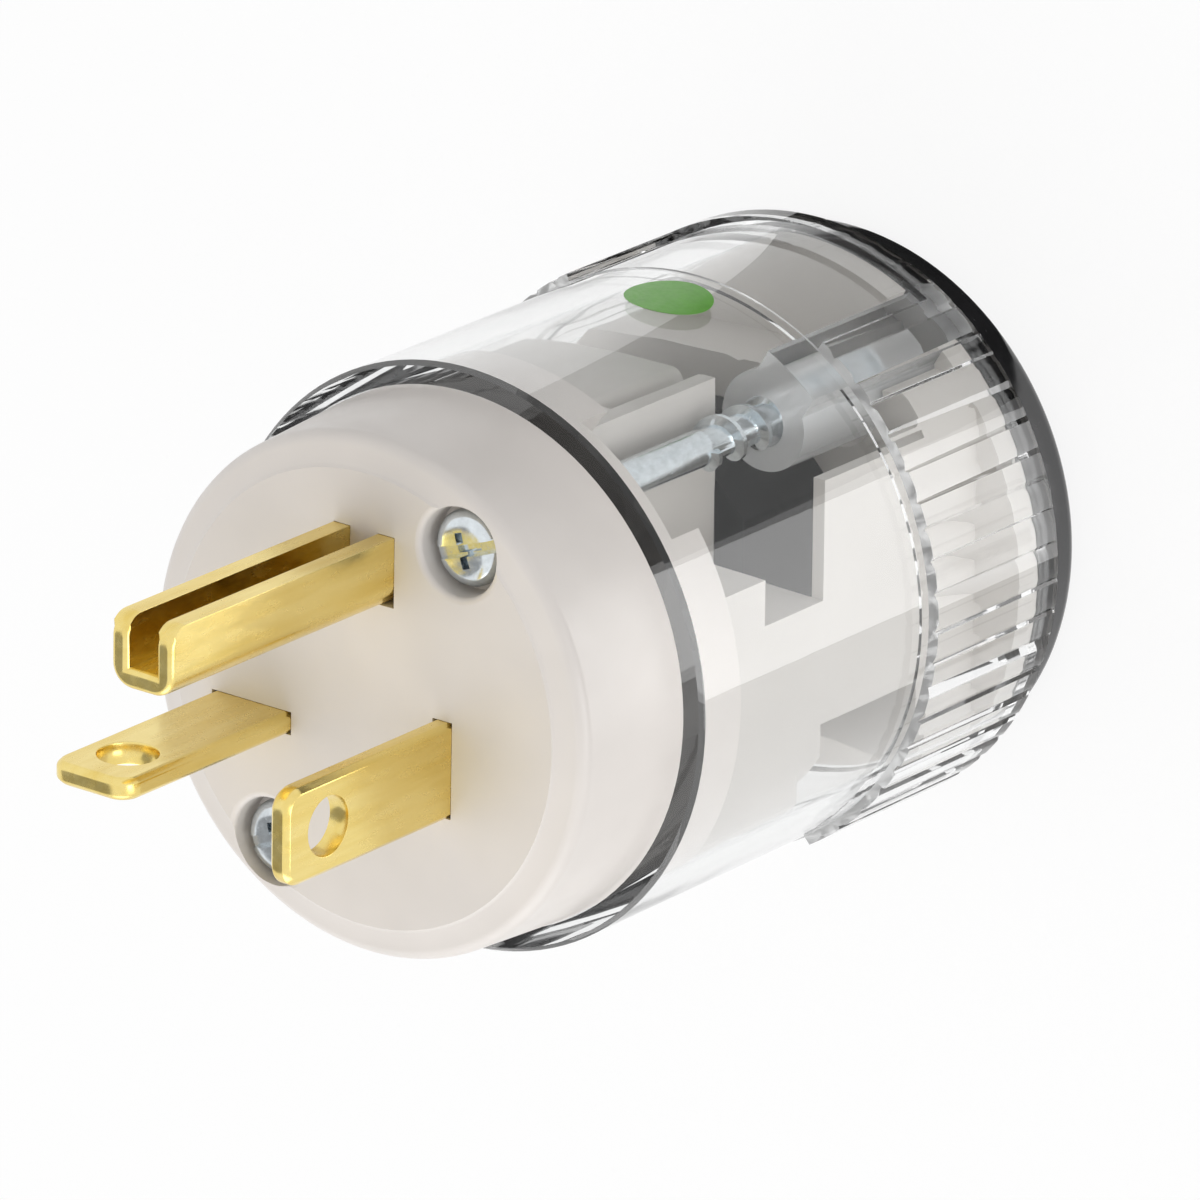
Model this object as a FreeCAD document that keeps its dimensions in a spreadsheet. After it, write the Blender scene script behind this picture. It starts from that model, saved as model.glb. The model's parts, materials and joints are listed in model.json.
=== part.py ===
import FreeCAD, Part
import math
import os

import Sketcher

# Rewirable straight-blade grounding plug with a clear housing.
# It stands on its rear seal: +Z runs to the blade tips, +Y to the ground pin, +X to the hot blade.
# All lengths in millimetres, all angles in degrees.

SIZES = {
    # clear housing
    "housing_radius": 19.2,
    "housing_wall": 1.5,
    "bore_step": 0.2,
    "rim_depth": 9.6,
    "rim_round": 0.3,
    "collar_length": 13.5,
    "collar_rise": 0.65,
    "collar_ramp": 0.15,
    "panel_angle": 62.0,
    "panel_rise": 0.1,
    "band_width": 2.4,
    "band_round": 0.6,
    "groove_count": 58,
    "groove_width": 0.9,
    "groove_floor": 0.4,
    "groove_depth": 0.35,
    "lip_thickness": 1.3,
    "lip_width": 1.3,
    # screw posts and assembly screws
    "screw_inset": 4.2,
    "screw_angle": 57.4,
    "post_radius": 3.2,
    "post_length": 15.1,
    "post_web": 4.2,
    "post_floor": 2.0,
    "head_radius": 2.5,
    "head_height": 1.7,
    "head_dome": 0.6,
    "head_sink": 0.5,
    "seat_gap": 0.4,
    "seat_round": 0.35,
    "shank_radius": 1.15,
    "thread_radius": 1.6,
    "thread_show": 6.5,
    "screw_gap": 0.25,
    "tip_gap": 0.2,
    # face base
    "skirt_length": 14.5,
    "face_thickness": 5.0,
    "face_draft": 0.5,
    "face_round": 0.8,
    "skirt_wall": 3.0,
    "ring_radius": 14.9,
    "ring_drop": 0.4,
    "slide_gap": 0.1,
    "slot_gap": 0.05,
    # blades and ground pin
    "blade_width": 6.35,
    "blade_thickness": 1.5,
    "blade_length": 16.0,
    "blade_corner": 1.5,
    "blade_bevel": 0.35,
    "blade_hole_radius": 1.95,
    "blade_hole_height": 12.0,
    "hot_offset": 6.35,
    "neutral_offset": 8.8,
    "blade_drop": 3.0,
    "ground_spacing": 11.9,
    "ground_width": 4.8,
    "ground_height": 4.6,
    "ground_thickness": 1.3,
    "ground_bend": 1.5,
    "ground_length": 21.4,
    "ground_corner": 1.4,
    "tab_reach": 4.8,
    "tail_shoulder": 0.6,
    "tail_gap": 2.5,
    # terminals
    "terminal_head": 2.3,
    "terminal_head_height": 1.6,
    "terminal_shank": 1.6,
    "terminal_slot": 0.8,
    "terminal_slot_depth": 0.7,
    "terminal_spare": 1.2,
    "terminal_rise": 6.2,
    "clamp_thickness": 1.2,
    "clamp_half": 2.7,
    "driver_radius": 1.9,
    # terminal block
    "block_length": 13.4,
    "side_cut": 3.4,
    "block_top": 14.4,
    "chamber_depth": 11.5,
    "chamber_gap": 0.4,
    "ground_wall": 1.2,
    "ground_wall_round": 0.9,
    "channel_width": 1.2,
    "channel_floor": 10.6,
    "channel_depth": 9.0,
    "recess_side": 5.4,
    "recess_floor": 5.0,
    "recess_under": 8.2,
    "recess_depth": 11.5,
    "notch_side": 10.6,
    "notch_floor": 2.9,
    "notch_depth": 2.6,
    "rebate_width": 1.2,
    "rebate_depth": 2.4,
    "rebate_angle": 64.0,
    # clamp carrier, jaws and seal
    "carrier_reach": 10.0,
    "carrier_wall": 0.9,
    "carrier_inset": 5.7,
    "carrier_top": 9.8,
    "carrier_drop": 6.1,
    "socket_depth": 5.6,
    "plate_thickness": 2.0,
    "plate_hole": 5.4,
    "post_gap": 0.3,
    "jaw_half_width": 7.0,
    "jaw_half_height": 9.0,
    "jaw_chamfer": 3.8,
    "jaw_split": 0.8,
    "jaw_front_gap": 1.0,
    "jaw_tooth_depth": 0.4,
    "jaw_tooth_pitch": 4.8,
    "jaw_tooth_count": 2,
    "cord_radius": 4.6,
    "seal_flange": 3.5,
    "seal_inset": 1.6,
    "seal_round": 1.6,
    "seal_step_width": 3.4,
    "seal_step_depth": 1.2,
}


class Size:
    """A length or angle as a number, with the sheet expression that it comes from."""

    def __init__(self, text, value):
        self.text = text
        self.value = value

    def __add__(self, other):
        return Size("(%s + %s)" % (self.text, as_size(other).text), self.value + as_size(other).value)

    def __sub__(self, other):
        return Size("(%s - %s)" % (self.text, as_size(other).text), self.value - as_size(other).value)

    def __mul__(self, other):
        return Size("%s * %s" % (self.text, as_size(other).text), self.value * as_size(other).value)

    def __truediv__(self, other):
        return Size("%s / %s" % (self.text, as_size(other).text), self.value / as_size(other).value)

    def __neg__(self):
        return Size("(-1 * %s)" % self.text, -self.value)


def as_size(value):
    """A Size as it is, or a plain number as a Size."""
    if isinstance(value, Size):
        return value
    return Size(repr(value), float(value))


doc = FreeCAD.newDocument("plug")
sheet = doc.addObject("Spreadsheet::Sheet", "Sizes")
for row, (name, number) in enumerate(SIZES.items(), start=1):
    sheet.set("A%d" % row, name)
    sheet.set("B%d" % row, str(number))
    sheet.setAlias("B%d" % row, name)
doc.recompute()


def size(name):
    """The sheet's cell of this name."""
    return Size("Sizes." + name, float(sheet.get(name)))


ZERO = as_size(0.0)
BEYOND = as_size(2.0)


def new_body(label):
    """An empty body for one sub-part."""
    body = doc.addObject("PartDesign::Body", label)
    body.Label = label
    return body


def origin_of(body, role):
    """One of a body's own origin planes or axes."""
    return next(item for item in body.Origin.OriginFeatures if item.Role == role)


def new_sketch(body, name, role, lift=ZERO, turn=None):
    """A sketch on an origin plane, raised along its normal and turned about it."""
    sketch = body.newObject("Sketcher::SketchObject", name)
    sketch.AttachmentSupport = [(origin_of(body, role), "")]
    sketch.MapMode = "FlatFace"
    angle = turn.value if turn else 0.0
    rotation = FreeCAD.Rotation(FreeCAD.Vector(0, 0, 1), angle)
    sketch.AttachmentOffset = FreeCAD.Placement(FreeCAD.Vector(0, 0, lift.value), rotation)
    sketch.setExpression("AttachmentOffset.Base.z", lift.text)
    if turn:
        sketch.setExpression("AttachmentOffset.Rotation.Angle", turn.text)
    return sketch


def hold(sketch, kind, index, point, value):
    """Ties one coordinate of a sketch point to its size."""
    if value is ZERO:
        axis = -2 if kind == "DistanceX" else -1
        sketch.addConstraint(Sketcher.Constraint("PointOnObject", index, point, axis))
        return
    number = sketch.addConstraint(Sketcher.Constraint(kind, -1, 1, index, point, value.value))
    sketch.setExpression("Constraints[%d]" % number, value.text)


def draw_polygon(sketch, points):
    """A closed outline of straight lines, each corner tied to its sizes."""
    first = sketch.GeometryCount
    ends = points[1:] + points[:1]
    for (ax, ay), (bx, by) in zip(points, ends):
        start = FreeCAD.Vector(ax.value, ay.value, 0)
        stop = FreeCAD.Vector(bx.value, by.value, 0)
        sketch.addGeometry(Part.LineSegment(start, stop), False)
    count = len(points)
    for k, (px, py) in enumerate(points):
        before = first + (k - 1) % count
        sketch.addConstraint(Sketcher.Constraint("Coincident", before, 2, first + k, 1))
        hold(sketch, "DistanceX", first + k, 1, px)
        hold(sketch, "DistanceY", first + k, 1, py)
    return sketch


def draw_box(sketch, low_x, high_x, low_y, high_y):
    """A rectangle between two pairs of sizes."""
    corners = [(low_x, low_y), (high_x, low_y), (high_x, high_y), (low_x, high_y)]
    return draw_polygon(sketch, corners)


def draw_circle(sketch, x, y, radius):
    """A circle with its centre and radius tied to sizes."""
    centre = FreeCAD.Vector(x.value, y.value, 0)
    index = sketch.addGeometry(Part.Circle(centre, FreeCAD.Vector(0, 0, 1), radius.value), False)
    hold(sketch, "DistanceX", index, 3, x)
    hold(sketch, "DistanceY", index, 3, y)
    number = sketch.addConstraint(Sketcher.Constraint("Radius", index, radius.value))
    sketch.setExpression("Constraints[%d]" % number, radius.text)
    return sketch


def feature(body, kind, name, sketch):
    """A feature of a body from a sketch."""
    item = body.newObject("PartDesign::" + kind, name)
    item.Profile = sketch
    sketch.Visibility = False
    return item


def pad(body, name, sketch, length):
    """Adds a sketch's outline along its normal."""
    item = feature(body, "Pad", name, sketch)
    item.setExpression("Length", length.text)
    doc.recompute()
    return item


def pocket(body, name, sketch, length=None, reverse=False):
    """Cuts a sketch's outline against its normal, or along it, to a depth or right through."""
    before = body.Shape.Volume
    item = feature(body, "Pocket", name, sketch)
    item.Reversed = reverse
    if length:
        item.setExpression("Length", length.text)
    else:
        item.Type = "ThroughAll"
    doc.recompute()
    if body.Shape.Volume > before - 1e-6:
        raise RuntimeError("%s.%s cuts nothing" % (body.Label, name))
    return item


def turned(body, kind, name, sketch, angle=None):
    """A revolution or a groove about the sketch's own upright axis."""
    item = feature(body, kind, name, sketch)
    item.ReferenceAxis = (sketch, ["V_Axis"])
    if angle:
        item.Midplane = True
        item.setExpression("Angle", angle.text)
    doc.recompute()
    return item


def around(body, name, originals, count=2):
    """Repeats features evenly about the plug's axis."""
    item = body.newObject("PartDesign::PolarPattern", name)
    item.Originals = originals
    item.Axis = (origin_of(body, "Z_Axis"), [""])
    item.Angle = 360
    if isinstance(count, Size):
        item.Occurrences = round(count.value)
        item.setExpression("Occurrences", count.text)
    else:
        item.Occurrences = count
    body.Tip = item
    doc.recompute()
    return item


def soften(body, kind, name, prop, amount, test):
    """A fillet or chamfer on each edge of the body that passes a test."""
    base = body.Tip
    picked = ["Edge%d" % k for k, edge in enumerate(base.Shape.Edges, start=1) if test(edge)]
    if not picked:
        raise RuntimeError("%s.%s finds no edge" % (body.Label, name))
    item = body.newObject("PartDesign::" + kind, name)
    item.Base = (base, picked)
    item.setExpression(prop, amount.text)
    body.Tip = item
    doc.recompute()
    return item


def rounded(radius, height, amount, end=1, flats=2):
    """Corners of a ring's rounded outer edge in short flats, from its side to its end face."""
    corners = []
    for step in range(flats + 1):
        turn = math.radians(90.0 * step / flats)
        short = amount * (1.0 - math.sin(turn)) * end
        corners.append((radius - amount * (1.0 - math.cos(turn)), height - short))
    return corners


def near(a, b):
    """True where two lengths agree."""
    return abs(a - b) < 1e-4


def upright_at(x, y):
    """A test for a straight upright edge at this place in plan."""

    def test(edge):
        ends = [vertex.Point for vertex in edge.Vertexes]
        if len(ends) != 2 or near(ends[0].z, ends[1].z):
            return False
        return all(near(end.x, x.value) and near(end.y, y.value) for end in ends)

    return test


def cut_box(body, name, xs, ys, zs):
    """Cuts a straight-sided hollow between three pairs of sizes."""
    sketch = draw_box(new_sketch(body, name + "Outline", "XY_Plane", zs[1]), *xs, *ys)
    return pocket(body, name, sketch, zs[1] - zs[0])


def add_box(body, name, xs, ys, zs):
    """Adds a straight-sided block between three pairs of sizes."""
    sketch = draw_box(new_sketch(body, name + "Outline", "XY_Plane", zs[0]), *xs, *ys)
    return pad(body, name, sketch, zs[1] - zs[0])


def add_disc(body, name, radius, zs):
    """Adds a round block on the plug's axis."""
    sketch = draw_circle(new_sketch(body, name + "Outline", "XY_Plane", zs[0]), ZERO, ZERO, radius)
    return pad(body, name, sketch, zs[1] - zs[0])


# Heights, from the seal's rear face up to the face and the rim of the housing
rear = size("seal_flange")
lip = rear + size("lip_thickness")
plate = lip + size("plate_thickness")
socket = plate + size("socket_depth")
block = socket + size("carrier_reach")
shoulder = block + size("block_length")
face = shoulder + size("skirt_length")
face_inside = face - size("face_thickness")
rim = face - size("rim_depth")
collar = rear + size("collar_length")
band = rear + size("band_width")
post = lip + size("post_length")
chamber = block + size("chamber_depth")
recess = block + size("recess_depth")
terminal = block + size("terminal_rise")
tail = block + size("tail_gap")

# Radii of the nested mouldings
bore = size("housing_radius") - size("housing_wall")
rear_bore = bore - size("bore_step")
lip_radius = rear_bore - size("lip_width")
collar_radius = size("housing_radius") + size("collar_rise")
panel_radius = size("housing_radius") + size("panel_rise")
skirt_radius = bore - size("slide_gap")
face_radius = skirt_radius - size("face_draft")
spigot_bore = skirt_radius - size("skirt_wall")
spigot_radius = spigot_bore - size("slide_gap")
inner_radius = rear_bore - size("slide_gap")
side_flat = inner_radius - size("side_cut")
outside = inner_radius + BEYOND
screw_ring = bore - size("screw_inset")
screw_hole = size("thread_radius") + size("screw_gap")

# Blade sections: the hot blade stands, the neutral blade lies, the ground pin is a U open to +Y
half_width = size("blade_width") / 2
half_thickness = size("blade_thickness") / 2
blade_line = -size("blade_drop")
hot_x = (size("hot_offset") - half_thickness, size("hot_offset") + half_thickness)
hot_y = (blade_line - half_width, blade_line + half_width)
neutral_centre = -size("neutral_offset")
neutral_x = (neutral_centre - half_width, neutral_centre + half_width)
neutral_tail_x = (neutral_x[0] - size("tail_shoulder"), neutral_x[1] + size("tail_shoulder"))
neutral_y = (blade_line - half_thickness, blade_line + half_thickness)
ground_centre = blade_line + size("ground_spacing")
ground_y = (ground_centre - size("ground_height") / 2, ground_centre + size("ground_height") / 2)
ground_x = (-size("ground_width") / 2, size("ground_width") / 2)
tab_y = (hot_y[0], hot_y[0] + size("blade_thickness"))
tab_end = hot_x[1] + size("tab_reach")
hot_screw = hot_x[1] + size("tab_reach") / 2


def grown(pair, gap):
    """A pair of sizes spread by a clearance at both ends."""
    return (pair[0] - gap, pair[1] + gap)


def ground_section(gap):
    """Outline of the folded ground strip, spread by a clearance on every side."""
    wall = size("ground_thickness")
    left, right = grown(ground_x, gap)
    low, high = grown(ground_y, gap)
    inner_left = ground_x[0] + wall + gap
    inner_right = ground_x[1] - wall - gap
    floor = ground_y[0] + wall + gap
    return [(left, low), (right, low), (right, high), (inner_right, high),
            (inner_right, floor), (inner_left, floor), (inner_left, high), (left, high)]


def cut_blade_slots(body, top, bottom):
    """Passages for the three contacts, from one height down to another."""
    gap = size("slot_gap")
    depth = (bottom, top)
    cut_box(body, "HotSlot", grown(hot_x, gap), grown(hot_y, gap), depth)
    cut_box(body, "NeutralSlot", grown(neutral_x, gap), grown(neutral_y, gap), depth)
    sketch = draw_polygon(new_sketch(body, "GroundSlotOutline", "XY_Plane", top), ground_section(gap))
    pocket(body, "GroundSlot", sketch, top - bottom)


def screw_outline(body, name, height, radius):
    """A circle round the first assembly screw's axis."""
    sketch = new_sketch(body, name + "Outline", "XY_Plane", height, size("screw_angle"))
    return draw_circle(sketch, screw_ring, ZERO, radius)


def screw_sketch(body, name):
    """An upright sketch whose own upright axis stands on the first assembly screw's axis."""
    sketch = new_sketch(body, name, "XZ_Plane")
    reach = (screw_ring.text, size("screw_angle").text)
    sketch.setExpression("AttachmentOffset.Base.x", "%s * cos(%s)" % reach)
    sketch.setExpression("AttachmentOffset.Base.z", "-%s * sin(%s)" % reach)
    return sketch


def make_face_base():
    """White face with its ring line, blade slots, sunk screw seats and the skirt behind."""
    body = new_body("face_base")
    edge = face - size("ring_drop")
    profile = [
        (ZERO, face_inside),
        (spigot_bore, face_inside),
        (spigot_bore, shoulder),
        (skirt_radius, shoulder),
        (skirt_radius, rim),
        *rounded(face_radius, edge, size("face_round")),
        (size("ring_radius"), face),
        (ZERO, face),
    ]
    turned(body, "Revolution", "Shell", draw_polygon(new_sketch(body, "Profile", "XZ_Plane"), profile))
    cut_blade_slots(body, face, face_inside)
    seat_radius = size("head_radius") + size("seat_gap")
    seat_floor = face - size("head_sink") - size("head_height")
    profile = [
        (ZERO, face + BEYOND),
        (seat_radius + size("seat_round") + BEYOND, face + BEYOND),
        (seat_radius, face - size("seat_round")),
        (seat_radius, seat_floor),
        (screw_hole, seat_floor),
        (screw_hole, shoulder - BEYOND),
        (ZERO, shoulder - BEYOND),
    ]
    sketch = draw_polygon(screw_sketch(body, "ScrewSeatOutline"), profile)
    seat = turned(body, "Groove", "ScrewSeat", sketch)
    around(body, "ScrewSeats", [seat])
    return body


def make_terminal_block():
    """White block with three wire chambers, open to the rear, and a spigot into the face base."""
    body = new_body("terminal_block")
    gap = size("chamber_gap")
    head = size("terminal_head_height")
    driver = size("driver_radius")
    stack = size("clamp_thickness") + size("terminal_spare")
    whole = (block, shoulder)
    open_end = (block, chamber)
    add_disc(body, "Block", inner_radius, whole)
    add_disc(body, "Spigot", spigot_radius, (shoulder, face_inside))
    cut_box(body, "RightFlat", (side_flat, outside), (-outside, outside), whole)
    cut_box(body, "LeftFlat", (-outside, -side_flat), (-outside, outside), whole)
    cut_box(body, "TopFlat", (-outside, outside), (size("block_top"), outside), whole)
    # hollows beside the two assembly screws
    hollow = (block, recess)
    side = size("recess_side")
    cut_box(body, "UpperRecess", (side, outside), (size("recess_floor"), outside), hollow)
    cut_box(body, "LowerRecess", (-outside, -side), (-outside, -size("recess_under")), hollow)
    notch = (block, block + size("notch_depth"))
    cut_box(body, "Notch", (size("notch_side"), outside), (size("notch_floor"), outside), notch)
    # wire chambers
    hot_room_x = (hot_x[0] - gap, tab_end + gap)
    hot_room_y = (tab_y[0] - head - gap, hot_y[1] + gap)
    cut_box(body, "HotChamber", hot_room_x, hot_room_y, open_end)
    neutral_room_y = (neutral_y[0] - head - gap, neutral_y[1] + stack + gap)
    cut_box(body, "NeutralChamber", grown(neutral_tail_x, gap), neutral_room_y, open_end)
    ground_left = ground_x[0] - head - gap
    ground_right = ground_x[0] + size("ground_thickness") + stack + gap
    cut_box(body, "GroundChamber", (ground_left, ground_right), grown(ground_y, gap), open_end)
    # channel between the ground chamber's wall and the hollow of the upper screw
    wall_face = ground_right + size("ground_wall")
    channel_x = (wall_face, wall_face + size("channel_width"))
    channel_top = block + size("channel_depth")
    cut_box(body, "Channel", channel_x, (size("channel_floor"), outside), (block, channel_top))
    cut_blade_slots(body, face_inside, chamber)
    hole = pocket(body, "ScrewHole", screw_outline(body, "ScrewHole", face_inside, screw_hole))
    around(body, "ScrewHoles", [hole])
    # driver holes to the terminal screws, from below and from the left
    sketch = new_sketch(body, "HotDriverOutline", "XZ_Plane", -hot_room_y[0])
    pocket(body, "HotDriver", draw_circle(sketch, hot_screw, terminal, driver), None, True)
    sketch = new_sketch(body, "NeutralDriverOutline", "XZ_Plane", -neutral_room_y[0])
    pocket(body, "NeutralDriver", draw_circle(sketch, neutral_centre, terminal, driver), None, True)
    sketch = new_sketch(body, "GroundDriverOutline", "YZ_Plane", ground_left)
    pocket(body, "GroundDriver", draw_circle(sketch, ground_centre, terminal, driver))
    # rebate round the lower edge of the rear end
    rebate_top = block + size("rebate_depth")
    rebate_radius = inner_radius - size("rebate_width")
    sketch = new_sketch(body, "RebateOutline", "YZ_Plane")
    draw_box(sketch, -outside, -rebate_radius, block - BEYOND, rebate_top)
    turned(body, "Groove", "Rebate", sketch, size("rebate_angle") * 2)
    # rounded corners of the ground chamber's wall
    corner = upright_at(wall_face, size("block_top"))
    soften(body, "Fillet", "WallEdge", "Radius", size("ground_wall_round"), corner)
    return body


def round_tip(body, axis, corners, tip):
    """Rounds a strip's tip: the corners across its thickness, then the edge all round."""
    other = "y" if axis == "x" else "x"

    def is_corner(edge):
        ends = [vertex.Point for vertex in edge.Vertexes]
        if len(ends) != 2 or not all(near(end.z, tip.value) for end in ends):
            return False
        if near(getattr(ends[0], axis), getattr(ends[1], axis)):
            return False
        return any(near(getattr(ends[0], other), corner.value) for corner in corners)

    soften(body, "Fillet", "TipCorners", "Radius", size("blade_corner"), is_corner)

    def is_rim(edge):
        box = edge.BoundBox
        across = box.XLength if axis == "x" else box.YLength
        return box.ZMax > tip.value - size("blade_corner").value - 1e-4 and across < 1e-4 \
            and box.ZLength < size("blade_corner").value + 1e-4

    soften(body, "Chamfer", "TipBevel", "Size", size("blade_bevel"), is_rim)


def make_hot_blade():
    """Upright brass strip with a hole, and a tab under its terminal screw."""
    body = new_body("hot_blade")
    tip = face + size("blade_length")
    add_box(body, "Strip", hot_x, hot_y, (tail, tip))
    add_box(body, "Tab", (hot_x[1], tab_end), tab_y, (tail, chamber))
    sketch = new_sketch(body, "HoleOutline", "YZ_Plane", hot_x[1] + size("tab_reach"))
    hole_height = face + size("blade_hole_height")
    pocket(body, "Hole", draw_circle(sketch, blade_line, hole_height, size("blade_hole_radius")))
    sketch = new_sketch(body, "ScrewHoleOutline", "XZ_Plane", -tab_y[1])
    draw_circle(sketch, hot_screw, terminal, size("terminal_shank"))
    pocket(body, "ScrewHole", sketch, None, True)
    round_tip(body, "x", hot_y, tip)
    return body


def make_neutral_blade():
    """Flat-lying brass strip with a hole; its wider tail lies under the terminal screw."""
    body = new_body("neutral_blade")
    tip = face + size("blade_length")
    add_box(body, "Tail", neutral_tail_x, neutral_y, (tail, chamber))
    add_box(body, "Strip", neutral_x, neutral_y, (chamber, tip))
    hole_height = face + size("blade_hole_height")
    for name, height, radius in (("Hole", hole_height, size("blade_hole_radius")),
                                 ("ScrewHole", terminal, size("terminal_shank"))):
        sketch = new_sketch(body, name + "Outline", "XZ_Plane", -neutral_y[1])
        pocket(body, name, draw_circle(sketch, neutral_centre, height, radius), None, True)
    round_tip(body, "y", neutral_x, tip)
    return body


def make_ground_pin():
    """Brass strip folded to a U; its left leg runs on to the terminal screw."""
    body = new_body("ground_pin")
    tip = face + size("ground_length")
    sketch = draw_polygon(new_sketch(body, "FoldOutline", "XY_Plane", chamber), ground_section(ZERO))
    pad(body, "Fold", sketch, tip - chamber)
    for name, x in zip(("LeftBend", "RightBend"), ground_x):
        soften(body, "Fillet", name, "Radius", size("ground_bend"), upright_at(x, ground_y[0]))
    leg_x = (ground_x[0], ground_x[0] + size("ground_thickness"))
    leg_y = (ground_y[0] + size("ground_bend"), ground_y[1])
    add_box(body, "Leg", leg_x, leg_y, (tail, chamber))
    sketch = new_sketch(body, "ScrewHoleOutline", "YZ_Plane", leg_x[1])
    pocket(body, "ScrewHole", draw_circle(sketch, ground_centre, terminal, size("terminal_shank")))

    def is_tip_corner(edge):
        box = edge.BoundBox
        flat = box.YLength < 1e-4 and box.ZLength < 1e-4
        return flat and near(box.ZMax, tip.value) and near(box.YMax, ground_y[1].value)

    soften(body, "Fillet", "LegCorners", "Radius", size("ground_corner"), is_tip_corner)
    return body


def make_clamp(label, role, lift, x, y, half_x, half_y):
    """Pressure plate with a tapped hole, drawn on a plane through a terminal screw."""
    body = new_body(label)
    sketch = new_sketch(body, "PlateOutline", role, lift)
    draw_box(sketch, x - half_x, x + half_x, y - half_y, y + half_y)
    pad(body, "Plate", sketch, size("clamp_thickness"))
    sketch = new_sketch(body, "HoleOutline", role, lift)
    pocket(body, "Hole", draw_circle(sketch, x, y, size("terminal_shank")), None, True)
    return body


def make_terminal_screw(label, grip, place, rotation):
    """Slotted terminal screw, drawn along +Z with the underside of its head at the origin."""
    body = new_body(label)
    reach = grip + size("clamp_thickness") + size("terminal_spare")
    profile = [
        (ZERO, -size("terminal_head_height")),
        (size("terminal_head"), -size("terminal_head_height")),
        (size("terminal_head"), ZERO),
        (size("terminal_shank"), ZERO),
        (size("terminal_shank"), reach),
        (ZERO, reach),
    ]
    turned(body, "Revolution", "Screw", draw_polygon(new_sketch(body, "Profile", "XZ_Plane"), profile))
    half_slot = size("terminal_slot") / 2
    floor = size("terminal_slot_depth") - size("terminal_head_height")
    across = (-size("terminal_head"), size("terminal_head"))
    cut_box(body, "Slot", across, (-half_slot, half_slot), (-size("terminal_head_height"), floor))
    body.Placement = FreeCAD.Placement(FreeCAD.Vector(*(item.value for item in place)), rotation)
    for axis, item in zip("xyz", place):
        body.setExpression("Placement.Base." + axis, item.text)
    doc.recompute()
    return body


def make_clear_housing():
    """Transparent sleeve: plain front, ribbed collar with two smooth panels, rear band and two posts."""
    body = new_body("clear_housing")
    radius = size("housing_radius")
    front_edge = rounded(radius, rim, size("rim_round"), flats=1)
    profile = [
        (bore, rim),
        *reversed(front_edge),
        (radius, collar + size("collar_ramp")),
        (collar_radius, collar),
        *rounded(collar_radius, rear, size("band_round"), -1, flats=1),
        (lip_radius, rear),
        (lip_radius, lip),
        (rear_bore, lip),
        (rear_bore, collar),
        (bore, collar),
    ]
    turned(body, "Revolution", "Sleeve", draw_polygon(new_sketch(body, "Profile", "XZ_Plane"), profile))
    # smooth panels above and below
    sketch = new_sketch(body, "PanelOutline", "YZ_Plane")
    draw_box(sketch, panel_radius, collar_radius + BEYOND, band, collar + size("collar_ramp"))
    panel = turned(body, "Groove", "Panel", sketch, size("panel_angle"))
    around(body, "Panels", [panel])
    # grooves between the ribs, one on +X and the rest about the axis
    half_floor = size("groove_floor") / 2
    half_mouth = size("groove_width") / 2
    floor = collar_radius - size("groove_depth")
    mouth = collar_radius + size("groove_depth") / 2
    sketch = new_sketch(body, "RibGrooveOutline", "XY_Plane", collar + size("collar_ramp"))
    profile = [(floor, -half_floor), (mouth, -half_mouth), (mouth, half_mouth), (floor, half_floor)]
    draw_polygon(sketch, profile)
    groove = pocket(body, "RibGroove", sketch, collar + size("collar_ramp") - rear)
    around(body, "RibGrooves", [groove], size("groove_count"))
    # posts that take the assembly screws, each joined to the wall by a web
    turn = size("screw_angle")
    column = pad(body, "Post", screw_outline(body, "Post", lip, size("post_radius")), post - lip)
    half_web = size("post_web") / 2
    sketch = new_sketch(body, "PostWebOutline", "XY_Plane", lip, turn)
    draw_box(sketch, screw_ring, bore + size("housing_wall") / 2, -half_web, half_web)
    web = pad(body, "PostWeb", sketch, post - lip)
    pilot_depth = post - lip - size("post_floor")
    pilot = pocket(body, "Pilot", screw_outline(body, "Pilot", post, size("thread_radius")), pilot_depth)
    around(body, "Posts", [column, web, pilot])
    return body


def make_assembly_screws():
    """The two long screws from the face into the posts, each thicker over its threaded end."""
    body = new_body("assembly_screws")
    body.AllowCompound = True
    under = face - size("head_sink") - size("head_height")
    top = under + size("head_height")
    dome = size("head_dome")
    start = post + size("thread_show")
    stop = lip + size("post_floor") + size("tip_gap") + size("thread_radius")
    profile = [
        (ZERO, top),
        (size("head_radius") - dome, top),
        (size("head_radius"), top - dome),
        (size("head_radius"), under),
        (size("shank_radius"), under),
        (size("shank_radius"), start),
        (size("thread_radius"), start),
        (size("thread_radius"), stop),
        (ZERO, stop - size("thread_radius")),
    ]
    screw = turned(body, "Revolution", "Screw", draw_polygon(screw_sketch(body, "Profile"), profile))
    around(body, "Screws", [screw])
    return body


def jaw_outline(gap):
    """Right half of the outline round both jaws, spread by a clearance, from the bottom up."""
    side = size("jaw_half_width") + gap
    top = size("jaw_half_height") + gap
    chamfer = size("jaw_chamfer")
    return [(side - chamfer, -top), (side, chamfer - top), (side, top - chamfer), (side - chamfer, top)]


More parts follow.
